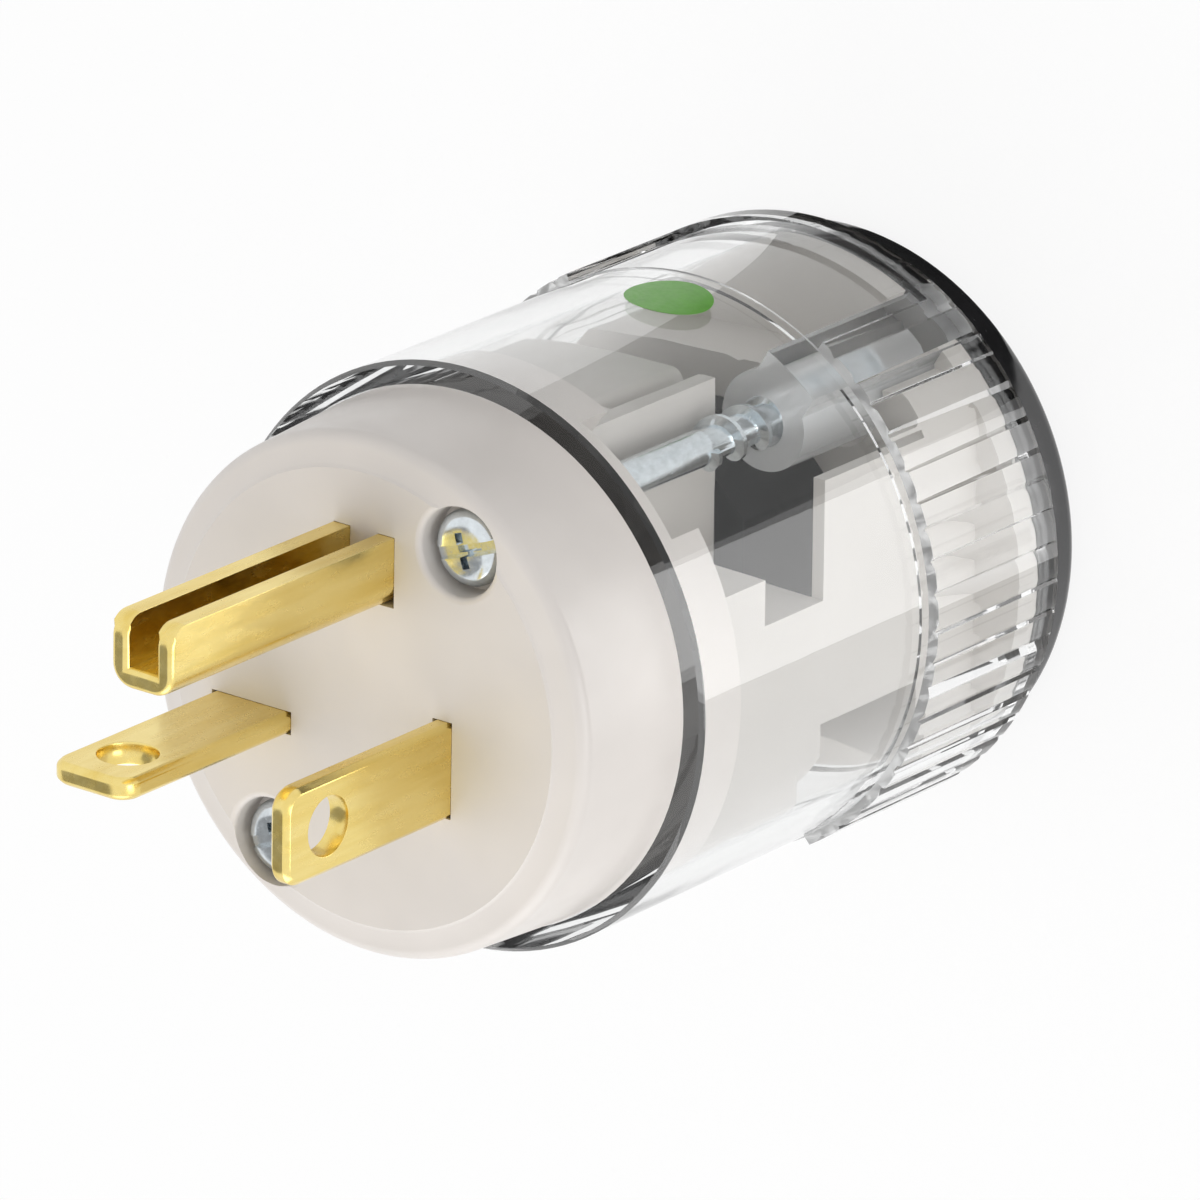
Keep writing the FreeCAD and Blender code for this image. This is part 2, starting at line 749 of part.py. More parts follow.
def make_clamp_carrier():
    """White frame in the rear of the housing: a socket for the jaws and a wall on each side."""
    body = new_body("clamp_carrier")
    half = bore - size("carrier_inset")
    depth = (plate, socket)
    add_disc(body, "Back", inner_radius, (lip, socket))
    for name, sign in (("Right", 1), ("Left", -1)):
        xs = (side_flat, outside) if sign > 0 else (-outside, -side_flat)
        cut_box(body, name + "Flat", xs, (-outside, outside), depth)
    cut_box(body, "TopFlat", (-outside, outside), (half, outside), depth)
    cut_box(body, "BottomFlat", (-outside, outside), (-outside, -half), depth)
    wall_x = (side_flat - size("carrier_wall"), side_flat)
    wall = add_box(body, "Wall", wall_x, (-size("carrier_drop"), size("carrier_top")), (socket, block))
    around(body, "Walls", [wall])
    right = jaw_outline(size("slide_gap"))
    left = [(-x, -y) for x, y in right]
    sketch = draw_polygon(new_sketch(body, "SocketOutline", "XY_Plane", socket), right + left)
    pocket(body, "Socket", sketch, size("socket_depth"))
    sketch = new_sketch(body, "CordHoleOutline", "XY_Plane", plate)
    draw_circle(sketch, ZERO, ZERO, size("plate_hole"))
    pocket(body, "CordHole", sketch, size("plate_thickness"))
    sketch = new_sketch(body, "PostSlotOutline", "XY_Plane", socket, size("screw_angle"))
    half_slot = size("post_web") / 2 + size("post_gap")
    draw_box(sketch, screw_ring, outside, -half_slot, half_slot)
    slot = pocket(body, "PostSlot", sketch, socket - lip)
    relief = size("post_radius") + size("post_gap")
    hole = pocket(body, "PostHole", screw_outline(body, "PostHole", socket, relief), socket - lip)
    around(body, "PostHoles", [slot, hole])
    return body


def make_cord_jaw(label, sign):
    """One of the two black jaws: half a block with a toothed half-round grip on the cord."""
    body = new_body(label)
    top = block - size("jaw_front_gap")
    half_split = size("jaw_split") / 2
    height = size("jaw_half_height")
    points = [(half_split, -height)] + jaw_outline(ZERO) + [(half_split, height)]
    if sign < 0:
        points = [(-x, -y) for x, y in points]
    sketch = draw_polygon(new_sketch(body, "JawOutline", "XY_Plane", plate), points)
    pad(body, "Jaw", sketch, top - plate)
    grip = size("cord_radius")
    sketch = draw_circle(new_sketch(body, "GripOutline", "XY_Plane", top), ZERO, ZERO, grip)
    pocket(body, "Grip", sketch)
    tooth = size("jaw_tooth_depth")
    pitch = size("jaw_tooth_pitch")
    for count in range(int(size("jaw_tooth_count").value)):
        middle = top - pitch * (count + 1)
        root = grip + tooth
        open_side = grip - tooth
        sketch = new_sketch(body, "Tooth%dOutline" % count, "XZ_Plane")
        draw_polygon(sketch, [(open_side, middle - tooth), (root, middle), (open_side, middle + tooth)])
        turned(body, "Groove", "Tooth%d" % count, sketch)
    return body


def make_cord_seal():
    """Black rear ring: a round-edged flange behind the housing and a plug in its rear opening."""
    body = new_body("cord_seal")
    radius = size("housing_radius") - size("seal_inset")
    inner = size("cord_radius")
    step = size("seal_step_depth")
    mouth = inner + size("seal_step_width")
    profile = [
        (mouth, ZERO),
        *reversed(rounded(radius, ZERO, size("seal_round"), -1)),
        (radius, rear),
        (lip_radius, rear),
        (lip_radius, lip),
        (inner, lip),
        (inner, step),
        (mouth, step),
    ]
    turned(body, "Revolution", "Ring", draw_polygon(new_sketch(body, "Profile", "XZ_Plane"), profile))
    return body


# Where each clamp lies on its strip, and where each terminal screw's head bears
UP_Y = FreeCAD.Rotation(FreeCAD.Vector(1, 0, 0), -90)
UP_X = FreeCAD.Rotation(FreeCAD.Vector(0, 1, 0), 90)
clamp = size("clamp_half")
hot_lift = -(tab_y[1] + size("clamp_thickness"))
neutral_lift = -(neutral_y[1] + size("clamp_thickness"))
ground_lift = ground_x[0] + size("ground_thickness")
hot_half = size("tab_reach") / 2 - size("slot_gap")
ground_half = size("ground_height") / 2
strip = size("blade_thickness")
fold = size("ground_thickness")
hot_place = (hot_screw, tab_y[0], terminal)
neutral_place = (neutral_centre, neutral_y[0], terminal)
ground_place = (ground_x[0], ground_centre, terminal)

nodes = [
    make_face_base(),
    make_terminal_block(),
    make_hot_blade(),
    make_neutral_blade(),
    make_ground_pin(),
    make_clamp("hot_wire_clamp", "XZ_Plane", hot_lift, hot_screw, terminal, hot_half, clamp),
    make_clamp("neutral_wire_clamp", "XZ_Plane", neutral_lift, neutral_centre, terminal, clamp, clamp),
    make_clamp("ground_wire_clamp", "YZ_Plane", ground_lift, ground_centre, terminal, ground_half, clamp),
    make_terminal_screw("hot_terminal_screw", strip, hot_place, UP_Y),
    make_terminal_screw("neutral_terminal_screw", strip, neutral_place, UP_Y),
    make_terminal_screw("ground_terminal_screw", fold, ground_place, UP_X),
    make_clear_housing(),
    make_assembly_screws(),
    make_clamp_carrier(),
    make_cord_jaw("right_cord_jaw", 1),
    make_cord_jaw("left_cord_jaw", -1),
    make_cord_seal(),
]
doc.recompute()

for item in doc.Objects:
    if "Invalid" in item.State or "Error" in item.State:
        raise RuntimeError("%s failed: %s" % (item.Name, item.State))
os.makedirs("parts", exist_ok=True)
for node in nodes:
    if node.Shape.isNull() or not node.Shape.isValid():
        raise RuntimeError("%s has no valid shape" % node.Label)
for node in nodes:
    node.Shape.exportStep("parts/%s.step" % node.Label)
    print(node.Label, len(node.Shape.Solids), round(node.Shape.Volume, 1))
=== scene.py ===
import json
import math

import bpy
from mathutils import Matrix, Vector

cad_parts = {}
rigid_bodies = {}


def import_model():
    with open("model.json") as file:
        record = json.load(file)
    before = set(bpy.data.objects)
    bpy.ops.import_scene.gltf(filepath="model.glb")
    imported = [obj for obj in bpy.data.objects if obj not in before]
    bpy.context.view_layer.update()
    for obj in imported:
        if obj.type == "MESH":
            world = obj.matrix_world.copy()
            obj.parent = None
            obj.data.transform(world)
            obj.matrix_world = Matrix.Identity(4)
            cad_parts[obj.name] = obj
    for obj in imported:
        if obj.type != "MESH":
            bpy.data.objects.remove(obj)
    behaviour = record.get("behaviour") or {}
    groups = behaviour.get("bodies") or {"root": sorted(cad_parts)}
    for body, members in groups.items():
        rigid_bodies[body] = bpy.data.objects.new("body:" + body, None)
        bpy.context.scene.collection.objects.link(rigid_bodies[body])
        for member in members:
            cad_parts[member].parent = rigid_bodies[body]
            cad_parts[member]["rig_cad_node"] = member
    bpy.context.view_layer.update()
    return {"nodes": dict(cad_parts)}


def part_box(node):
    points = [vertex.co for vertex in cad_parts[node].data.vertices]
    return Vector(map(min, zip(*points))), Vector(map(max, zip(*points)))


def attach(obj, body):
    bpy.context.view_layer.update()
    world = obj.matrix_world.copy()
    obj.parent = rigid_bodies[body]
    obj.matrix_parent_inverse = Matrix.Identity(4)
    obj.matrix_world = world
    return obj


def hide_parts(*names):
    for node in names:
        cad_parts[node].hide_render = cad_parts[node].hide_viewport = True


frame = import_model()

bl_info = {
    "name": "Clear grounding plug",
    "version": (1, 0, 0),
    "blender": (4, 5, 0),
    "location": "View3D > Sidebar > Plug",
    "description": "Dresses a straight-blade grounding plug with a clear housing",
    "category": "Object",
}

BODY = "root"
MM = 0.001
FACE_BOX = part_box("face_base")
SEAL_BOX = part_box("cord_seal")
SLEEVE_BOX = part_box("clear_housing")

# Profile of a long screw's head: share of its radius, and fall from its top in millimetres.
HEAD_PROFILE = ((0.3, 0.0), (0.6, 0.07), (0.8, 0.22), (0.93, 0.48), (0.99, 0.85), (1.0, 1.2))

# What the lamps look at, then each lamp's name, stage value, edge and place in metres, and if mirrors show it.
AIM = (0.0, 0.0, 0.035)
LAMPS = (
    ("front_lamp", "front", 0.6, (-0.25, -0.15, 0.85), False),
    ("side_lamp", "side", 0.5, (0.75, -0.05, 0.18), True),
    ("low_lamp", "low", 0.6, (0.1, -0.75, 0.25), True),
)

# Corners in millimetres of the cards that the sleeve mirrors: two on the floor and one behind the blades.
WHITE_CARD = ((18.6, 11.2, 0.4), (75.0, 44.5, 0.4), (21.0, 0.9, 0.4), (75.0, -20.2, 0.4))
DARK_CARD = ((16.5, 12.0, 0.4), (75.0, 46.0, 0.4), (-6.0, 21.5, 0.4), (-30.0, 120.0, 0.4))
DARK_FLAG = ((-578, -742, 487), (-924, -180, 487), (-158, -484, 929), (-504, 78, 929))


def length(name, description, default):
    """A length in metres that a user may change."""
    return bpy.props.FloatProperty(
        name=name, description=description, default=default, min=0.0, unit="LENGTH", precision=5)


def colour(name, description, default):
    """A linear colour that a user may change."""
    return bpy.props.FloatVectorProperty(
        name=name, description=description, default=default, subtype="COLOR", size=3, min=0.0, max=1.0)


def turn(name, description, degrees):
    """An angle that a user may change."""
    return bpy.props.FloatProperty(
        name=name, description=description, default=math.radians(degrees), subtype="ANGLE")


def amount(name, description, default, top=10.0):
    """A plain number that a user may change."""
    return bpy.props.FloatProperty(name=name, description=description, default=default, min=0.0, max=top)


class PlugSizes(bpy.types.PropertyGroup):
    """Sizes of the pieces that dress the plug."""

    edge_round: length("Edge round", "Rounding of the brass edges", 0.12 * MM)
    moulded_round: length("Moulded round", "Rounding of the inner mouldings' edges", 0.2 * MM)
    sleeve_round: length("Sleeve round", "Rounding of the clear sleeve's edges", 0.08 * MM)
    groove_floor: length("Groove floor", "Radius of the floor of the grooves between the ribs", 19.5 * MM)
    groove_width: length("Groove width", "Width of that floor, which is drawn together to a line", 0.4 * MM)
    groove_lift: length("Groove lift", "Lift of that line, which makes the grooves shallower", 0.15 * MM)
    groove_depth: length("Groove depth", "Depth of the grooves before that lift", 0.35 * MM)
    panel_angle: turn("Panel angle", "Width of a smooth panel between the ribs", 62.0)
    collar_top: length("Collar top", "Height of the step at the front of the ribs", 17.0 * MM)
    sleeve_radius: length("Sleeve radius", "Radius of the sleeve before the ribs", 19.2 * MM)
    face_round: length("Face round", "Rounding of the face's outer edge", 0.95 * MM)
    face_radius: length("Face radius", "Radius of the face at its front edge", 17.1 * MM)
    face_thickness: length("Face thickness", "Thickness of the face behind the blades", 5.0 * MM)
    skirt_radius: length("Skirt radius", "Radius of the skirt inside the sleeve", 17.6 * MM)
    skirt_wall: length("Skirt wall", "Wall of the skirt", 3.0 * MM)
    notch_height: length("Notch height", "Height of the notch in the skirt by the upper long screw", 2.7 * MM)
    notch_x: length("Notch x", "Place of that notch on the hot blade's side", 11.2 * MM)
    notch_y: length("Notch y", "Place of that notch on the ground pin's side", 13.8 * MM)
    notch_depth: length("Notch depth", "Depth of that notch through the skirt", 8.0 * MM)
    notch_width: length("Notch width", "Width of that notch along the skirt", 9.0 * MM)
    notch_angle: turn("Notch angle", "Direction of that notch from the axis", 51.0)
    recess_x: length("Recess x", "Inner side of the recess in the terminal block", 5.4 * MM)
    recess_y: length("Recess y", "Floor of the recess by the upper long screw", 5.0 * MM)
    recess_rear: length("Recess rear", "Height where that recess begins", 33.8 * MM)
    step_y: length("Step y", "Lower side of the step behind that recess", 2.0 * MM)
    step_rear: length("Step rear", "Height where that step begins", 22.3 * MM)
    step_front: length("Step front", "Height where that step ends", 28.5 * MM)
    skirt_straight: length("Skirt straight", "Length of the skirt without taper", 4.9 * MM)
    ring_radius: length("Ring radius", "Radius of the ring line on the face", 14.9 * MM)
    ring_drop: length("Ring drop", "Fall of the face outside its ring line", 0.4 * MM)
    slot_gap: length("Slot gap", "Clearance round the blades in the face", 0.02 * MM)
    pin_wall: length("Pin wall", "Thickness of the folded ground pin", 1.3 * MM)
    tip_round: length("Tip round", "Rounding of the edges round the ground pin's tip", 0.42 * MM)
    tip_reach: length("Tip reach", "Length of the ground pin's tip with that rounding", 0.3 * MM)
    seat_radius: length("Seat radius", "Radius of a sunk screw seat", 2.9 * MM)
    seat_round: length("Seat round", "Rounding of a screw seat's rim", 0.4 * MM)
    seal_radius: length("Seal radius", "Radius of the rear seal's flange", 18.6 * MM)
    seal_round: length("Seal round", "Rounding of the seal's rear edge", 1.2 * MM)
    seal_flange: length("Seal flange", "Thickness of the rear seal's flange", 3.5 * MM)
    seal_plug: length("Seal plug", "Radius of the seal inside the sleeve", 16.2 * MM)
    seal_mouth: length("Seal mouth", "Radius of the seal's wider mouth", 8.0 * MM)
    seal_mouth_depth: length("Seal mouth depth", "Depth of the seal's wider mouth", 1.2 * MM)
    cord_radius: length("Cord radius", "Radius of the cord's way through the seal", 4.6 * MM)
    seal_gap: length("Seal gap", "Air between the seal and the clear sleeve", 0.06 * MM)
    web_width: length("Web width", "Width of the webs that join the posts to the sleeve", 4.2 * MM)
    post_top: length("Post top", "Height of the clear screw posts", 19.9 * MM)
    post_radius: length("Post radius", "Radius of the clear screw posts", 3.2 * MM)
    screw_ring: length("Screw ring", "Distance of the long screws from the axis", 13.5 * MM)
    screw_angle: turn("Screw angle", "Direction of the upper long screw from the axis", 57.4)
    head_top: length("Head top", "Height of the long screws' heads", 49.8 * MM)
    head_radius: length("Head radius", "Radius of the long screws' heads", 2.5 * MM)
    head_height: length("Head height", "Thickness of the long screws' heads", 1.7 * MM)
    shank_radius: length("Shank radius", "Radius of the long screws' plain shanks", 1.15 * MM)
    thread_radius: length("Thread radius", "Outer radius of the coarse thread", 1.58 * MM)
    thread_pitch: length("Thread pitch", "Lift of the coarse thread in one turn", 2.6 * MM)
    thread_start: length("Thread start", "Height where the coarse thread begins", 26.4 * MM)
    thread_turns: bpy.props.IntProperty(
        name="Thread turns", description="Turns of the coarse thread", default=6, min=1, max=20)
    slot_width: length("Slot width", "Width of the slot in a long screw's head", 0.8 * MM)
    slot_depth: length("Slot depth", "Depth of the slot in a long screw's head", 0.8 * MM)
    cross_depth: length("Cross depth", "Depth of the cross in a long screw's head", 1.25 * MM)
    slot_angle: turn("Slot angle", "Direction of the slot in a long screw's head", 18.0)
    dot_radius: length("Dot radius", "Radius of the printed dot", 2.85 * MM)
    dot_height: length("Dot height", "Height of the printed dot's centre", 21.3 * MM)
    dot_side: length("Dot side", "Sideways place of the printed dot's centre", 1.24 * MM)
    dot_film: length("Dot film", "Thickness of the printed dot", 0.03 * MM)


class PlugColours(bpy.types.PropertyGroup):
    """Colours of the plug's finishes."""

    face_white: colour("Face white", "Warm white of the face", (0.74, 0.697, 0.66))
    # The face's white nylon made darker: painted shade for the light that the clear wall keeps from the inner
    # mouldings.
    inner_white_painted_shade: colour("Inner white", "White of the mouldings behind the clear wall", (0.66, 0.632, 0.598))
    brass_gold: colour("Brass gold", "Colour of the rolled brass", (0.88, 0.71, 0.27))
    brass_shade: colour("Brass shade", "Darker streaks in the rolled brass", (0.80, 0.60, 0.17))
    zinc: colour("Zinc", "Bright zinc plate on the screws", (0.72, 0.77, 0.80))
    clear_tint: colour("Clear tint", "Tint of the clear plastic", (0.962, 0.968, 0.968))
    jaw_black: colour("Jaw black", "Black of the cord jaws", (0.005, 0.005, 0.006))
    seal_black: colour("Seal black", "Black of the rear seal", (0.010, 0.010, 0.011))
    dot_green: colour("Dot green", "Green of the printed dot", (0.12, 0.40, 0.035))
    floor_white: colour("Floor white", "White of the studio floor", (0.92, 0.92, 0.92))


class PlugStage(bpy.types.PropertyGroup):
    """Camera and lamps."""

    eye: bpy.props.FloatVectorProperty(
        name="Eye", description="Place of the camera", default=(0.42735, 0.26066, 0.58659), subtype="XYZ")
    look: bpy.props.FloatVectorProperty(
        name="Look", description="Direction of the view", default=(-0.56868, -0.34713, -0.74572), subtype="XYZ")
    up: bpy.props.FloatVectorProperty(
        name="Up", description="Direction of the picture's top", default=(-0.22640, 0.93763, -0.26380),
        subtype="XYZ")
    lens: amount("Lens", "Focal length in millimetres on a 36 mm sensor", 355.6, 1000.0)
    front: amount("Front", "Power of the lamp before the face, in watts", 3.25, 100.0)
    side: amount("Side", "Power of the lamp on the hot blade's side, in watts", 2.1, 100.0)
    low: amount("Low", "Power of the lamp on the blades' side, in watts", 1.65, 100.0)
    surround: amount("Surround", "Brightness of the room round the stage", 0.5)
    strip: amount("Strip", "Brightness of the white card that the sleeve mirrors", 3.2)
    dark_card: amount("Dark card", "Brightness of the dark card on the floor", 0.04)
    dark_flag: amount("Dark flag", "Brightness of the dark flag behind the blades", 0.36)
    shadow_share: amount("Shadow share", "Share of real shading in the floor that the camera sees", 0.12, 1.0)


def start_fresh():
    """Object mode with nothing selected."""
    if bpy.context.mode != "OBJECT":
        bpy.ops.object.mode_set(mode="OBJECT")
    bpy.ops.object.select_all(action="DESELECT")


def pick(piece):
    """Makes one object the only selected and active one."""
    start_fresh()
    piece.select_set(True)
    bpy.context.view_layer.objects.active = piece


def edit(piece):
    """Opens one object in edit mode with all of it selected."""
    pick(piece)
    bpy.ops.object.mode_set(mode="EDIT")
    bpy.ops.mesh.select_all(action="SELECT")


def leave():
    """Back to object mode."""
    bpy.ops.object.mode_set(mode="OBJECT")


def choose(piece, test):
    """Opens one object in edit mode with only the points selected that pass a test."""
    edit(piece)
    bpy.ops.mesh.select_mode(type="VERT")
    bpy.ops.mesh.select_all(action="DESELECT")
    leave()
    for vertex in piece.data.vertices:
        vertex.select = test(vertex)
    bpy.ops.object.mode_set(mode="EDIT")


def apply_place(piece):
    """Moves an object's place, turn and scale into its mesh."""
    pick(piece)
    bpy.ops.object.transform_apply(location=True, rotation=True, scale=True)


def apply_modifier(piece, kind, **settings):
    """Adds a modifier with these settings and applies it."""
    pick(piece)
    modifier = piece.modifiers.new(kind.title(), kind)
    for key, value in settings.items():
        setattr(modifier, key, value)
    bpy.ops.object.modifier_apply(modifier=modifier.name)


def smooth(piece, degrees=32.0):
    """Smooth shading over every edge that is flatter than an angle, led by the larger faces."""
    pick(piece)
    bpy.ops.object.shade_smooth_by_angle(angle=math.radians(degrees))
    apply_modifier(piece, "WEIGHTED_NORMAL", mode="FACE_AREA", weight=80, keep_sharp=True)


def finish_piece(piece, material, slot, *nodes):
    """Gives a piece its material and its body, and hides the CAD nodes that it stands for. The slot is not used.
    """
    piece.data.materials.clear()
    piece.data.materials.append(material)
    for polygon in piece.data.polygons:
        polygon.material_index = 0
    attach(piece, BODY)
    if nodes:
        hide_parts(*nodes)


def paint(material, *nodes):
    """Assigns a material to the slots of CAD nodes."""
    for name in nodes:
        for slot in frame["nodes"][name].material_slots:
            slot.material = material


def joined(node, name):
    """A copy of a CAD solid with its triangles joined to whole faces."""
    pick(frame["nodes"][node])
    bpy.ops.object.duplicate()
    piece = bpy.context.object
    piece.name = name
    del piece["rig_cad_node"]
    edit(piece)
    bpy.ops.mesh.customdata_custom_splitnormals_clear()
    bpy.ops.mesh.remove_doubles(threshold=1e-6)
    bpy.ops.mesh.dissolve_limited(angle_limit=math.radians(0.4))
    leave()
    return piece


def soften(piece, width, degrees=32.0):
    """Rounds a piece's sharp edges."""
    apply_modifier(piece, "BEVEL", width=width, segments=2, limit_method="ANGLE",
                   angle_limit=math.radians(degrees), use_clamp_overlap=True)
    smooth(piece, degrees)


def softened(node, name, width):
    """A copy of a CAD solid with its sharp edges rounded."""
    piece = joined(node, name)
    soften(piece, width)
    return piece


def lathe(name, rings, segments=128):
    """A turned solid: one disc, extruded and resized from ring to ring."""
    start_fresh()
    radius, height = rings[0]
    bpy.ops.mesh.primitive_circle_add(
        vertices=segments, radius=radius, fill_type="NGON", location=(0.0, 0.0, height))
    piece = bpy.context.object
    piece.name = name
    apply_place(piece)
    edit(piece)
    for next_radius, next_height in rings[1:]:
        bpy.ops.mesh.extrude_region_move(TRANSFORM_OT_translate={"value": (0.0, 0.0, next_height - height)})
        grow = next_radius / radius
        bpy.ops.transform.resize(value=(grow, grow, 1.0), center_override=(0.0, 0.0, 0.0))
        radius, height = next_radius, next_height
    bpy.ops.mesh.select_all(action="SELECT")
    bpy.ops.mesh.normals_make_consistent(inside=False)
    leave()
    return piece


def quarter(radius, height, size, end, steps=8):
    """Rings of a rounded outer edge, from the side to the end face (end 1 above, -1 below)."""
    rings = []
    for step in range(steps + 1):
        angle = math.pi / 2 * step / steps
        rings.append((radius - size * (1 - math.cos(angle)), height - end * size * (1 - math.sin(angle))))
    return rings


def move_to_screw(piece, sizes):
    """Moves a piece from the axis to the place of the upper long screw."""
    piece.location = (sizes.screw_ring * math.cos(sizes.screw_angle),
                      sizes.screw_ring * math.sin(sizes.screw_angle), 0.0)
    apply_place(piece)


def copy_across(piece, name):
    """A copy of a piece, half a turn round the axis, with a mesh of its own."""
    pick(piece)
    bpy.ops.object.duplicate(linked=False)
    copy = bpy.context.object
    copy.name = name
    copy.rotation_euler = (0.0, 0.0, math.pi)
    apply_place(copy)
    return copy


def block(low, high):
    """A straight block between two corners, to cut with."""
    start_fresh()
    middle = (Vector(low) + Vector(high)) / 2
    bpy.ops.mesh.primitive_cube_add(size=1.0, location=middle, scale=Vector(high) - Vector(low))
    cutter = bpy.context.object
    apply_place(cutter)
    return cutter


def turned_block(centre, size, angle, taper=1.0):
    """A block turned about the upright and narrowed to its foot, to cut with."""
    start_fresh()
    bpy.ops.mesh.primitive_cube_add(size=1.0, location=centre, rotation=(0.0, 0.0, angle), scale=size)
    cutter = bpy.context.object
    apply_place(cutter)
    choose(cutter, lambda vertex: vertex.co.z < centre[2])
    bpy.ops.transform.resize(value=(taper, taper, 1.0), center_override=centre)
    leave()
    return cutter


def cut(piece, *cutters):
    """Takes cutters out of a piece and deletes them."""
    for cutter in cutters:
        apply_modifier(piece, "BOOLEAN", operation="DIFFERENCE", object=cutter, solver="EXACT")
        pick(cutter)
        bpy.ops.object.delete()


def fuse(piece, other):
    """Joins another solid to a piece and deletes the other."""
    apply_modifier(piece, "BOOLEAN", operation="UNION", object=other, solver="EXACT")
    pick(other)
    bpy.ops.object.delete()


def helix(sizes):
    """The coarse thread: one trapezoid drawn round the axis, closed at both ends."""
    start_fresh()
    root = sizes.shank_radius * 0.85
    depth = sizes.thread_radius - root
    bpy.ops.mesh.primitive_plane_add(
        size=1.0, rotation=(math.pi / 2, 0.0, 0.0),
        location=(root + depth / 2, 0.0, sizes.thread_start - sizes.thread_turns * sizes.thread_pitch))
    ridge = bpy.context.object
    ridge.scale = (depth, sizes.thread_pitch * 0.42, 1.0)
    apply_place(ridge)
    choose(ridge, lambda vertex: vertex.co.x > root + depth / 2)
    bpy.ops.transform.resize(value=(1.0, 1.0, 0.32))
    bpy.ops.mesh.select_all(action="SELECT")
    bpy.ops.mesh.delete(type="ONLY_FACE")
    leave()
    apply_modifier(ridge, "SCREW", axis="Z", angle=2 * math.pi, screw_offset=sizes.thread_pitch,
                   iterations=sizes.thread_turns, steps=28, render_steps=28, use_normal_calculate=True)
    edit(ridge)
    bpy.ops.mesh.select_all(action="DESELECT")
    bpy.ops.mesh.select_mode(type="EDGE")
    bpy.ops.mesh.select_non_manifold()
    bpy.ops.mesh.edge_face_add()
    bpy.ops.mesh.select_all(action="SELECT")
    bpy.ops.mesh.normals_make_consistent(inside=False)
    leave()
    return ridge


def any_of(nodes, links, *sources):
    """The largest of several light-path answers."""
    total = sources[0]
    for source in sources[1:]:
        larger = nodes.new("ShaderNodeMath")
        larger.operation = "MAXIMUM"
        links.new(total, larger.inputs[0])
        links.new(source, larger.inputs[1])
        total = larger.outputs[0]
    return total


class Finish:
    """A node material that starts from one principled shader."""

    def __init__(self, name):
        self.material = bpy.data.materials.new(name)
        self.material.use_nodes = True
        self.nodes = self.material.node_tree.nodes
        self.links = self.material.node_tree.links
        self.shader = self.nodes["Principled BSDF"]

    def set(self, **values):
        """Sets sockets of the shader, with spaces in their names written as underscores."""
        for key, value in values.items():
            self.shader.inputs[key.replace("_", " ")].default_value = value

    def place(self, stretch=(1.0, 1.0, 1.0)):
        """Object coordinates in millimetres, stretched along an axis."""
        coordinates = self.nodes.new("ShaderNodeTexCoord")
        mapping = self.nodes.new("ShaderNodeMapping")
        mapping.inputs["Scale"].default_value = [1000.0 * item for item in stretch]
        self.links.new(coordinates.outputs["Object"], mapping.inputs["Vector"])
        return mapping.outputs["Vector"]

    def noise(self, scale, detail=3.0, stretch=(1.0, 1.0, 1.0), roughness=0.55):
        """A noise of this many cells in a millimetre."""
        texture = self.nodes.new("ShaderNodeTexNoise")
        texture.inputs["Scale"].default_value = scale
        texture.inputs["Detail"].default_value = detail
        texture.inputs["Roughness"].default_value = roughness
        self.links.new(self.place(stretch), texture.inputs["Vector"])
        return texture.outputs["Fac"]

    def ramp(self, source, low, high, start=0.3, stop=0.7):
        """A noise turned into a range of numbers."""
        spread = self.nodes.new("ShaderNodeMapRange")
        spread.inputs["From Min"].default_value = start
        spread.inputs["From Max"].default_value = stop
        spread.inputs["To Min"].default_value = low
        spread.inputs["To Max"].default_value = high
        self.links.new(source, spread.inputs["Value"])
        return spread.outputs["Result"]

    def tint(self, source, low, high, start=0.3, stop=0.7):
        """A noise turned into a range of colours."""
        colours = self.nodes.new("ShaderNodeValToRGB")
        colours.color_ramp.elements[0].position = start
        colours.color_ramp.elements[1].position = stop
        colours.color_ramp.elements[0].color = (*low, 1.0)
        colours.color_ramp.elements[1].color = (*high, 1.0)
        self.links.new(source, colours.inputs["Fac"])
        return colours.outputs["Color"]

    def bump(self, source, strength, depth):
        """A relief of this depth in millimetres on the shader's normal."""
        relief = self.nodes.new("ShaderNodeBump")
        relief.inputs["Strength"].default_value = strength
        relief.inputs["Distance"].default_value = depth * MM
        self.links.new(source, relief.inputs["Height"])
        self.links.new(relief.outputs["Normal"], self.shader.inputs["Normal"])

    def drive(self, source, socket):
        """Links a result to a socket of the shader."""
        self.links.new(source, self.shader.inputs[socket])


def shade(tone, factor):
    """A colour made darker or lighter."""
    return tuple(min(1.0, item * factor) for item in tone)


def moulded_nylon(name, tone, gloss):
    """Satin moulded nylon with faint flow marks and a fine moulded skin."""
    finish = Finish(name)
    finish.set(IOR=1.53)
    finish.drive(finish.tint(finish.noise(0.12, 2.0), shade(tone, 0.965), shade(tone, 1.02)), "Base Color")
    finish.drive(finish.ramp(finish.noise(0.6, 1.0), gloss - 0.05, gloss + 0.07), "Roughness")
    finish.bump(finish.noise(2.2, 2.0), 0.25, 0.012)
    return finish.material


def rolled_brass(tone, dark):
    """Rolled brass: fine lines along the strip, uneven polish and a few handling marks."""
    finish = Finish("rolled_brass")
    finish.set(Metallic=1.0, Anisotropic=0.25)
    streaks = finish.noise(0.9, 3.0, (1.0, 1.0, 0.12))
    finish.drive(finish.tint(streaks, dark, tone, 0.25, 0.62), "Base Color")
    finish.drive(finish.ramp(finish.noise(1.4, 3.0, (1.0, 1.0, 0.3)), 0.16, 0.32), "Roughness")
    finish.bump(finish.noise(3.0, 3.0, (1.0, 1.0, 0.2)), 0.18, 0.006)
    return finish.material


def zinc_plate(tone):
    """Bright zinc plate: bluish white, with soft grain and scuffs."""
    finish = Finish("zinc_plate")
    finish.set(Metallic=1.0)
    finish.drive(finish.tint(finish.noise(1.6, 5.0), shade(tone, 0.88), shade(tone, 1.06)), "Base Color")
    finish.drive(finish.ramp(finish.noise(3.0, 6.0), 0.12, 0.28), "Roughness")
    finish.bump(finish.noise(5.0, 5.0), 0.15, 0.006)
    return finish.material


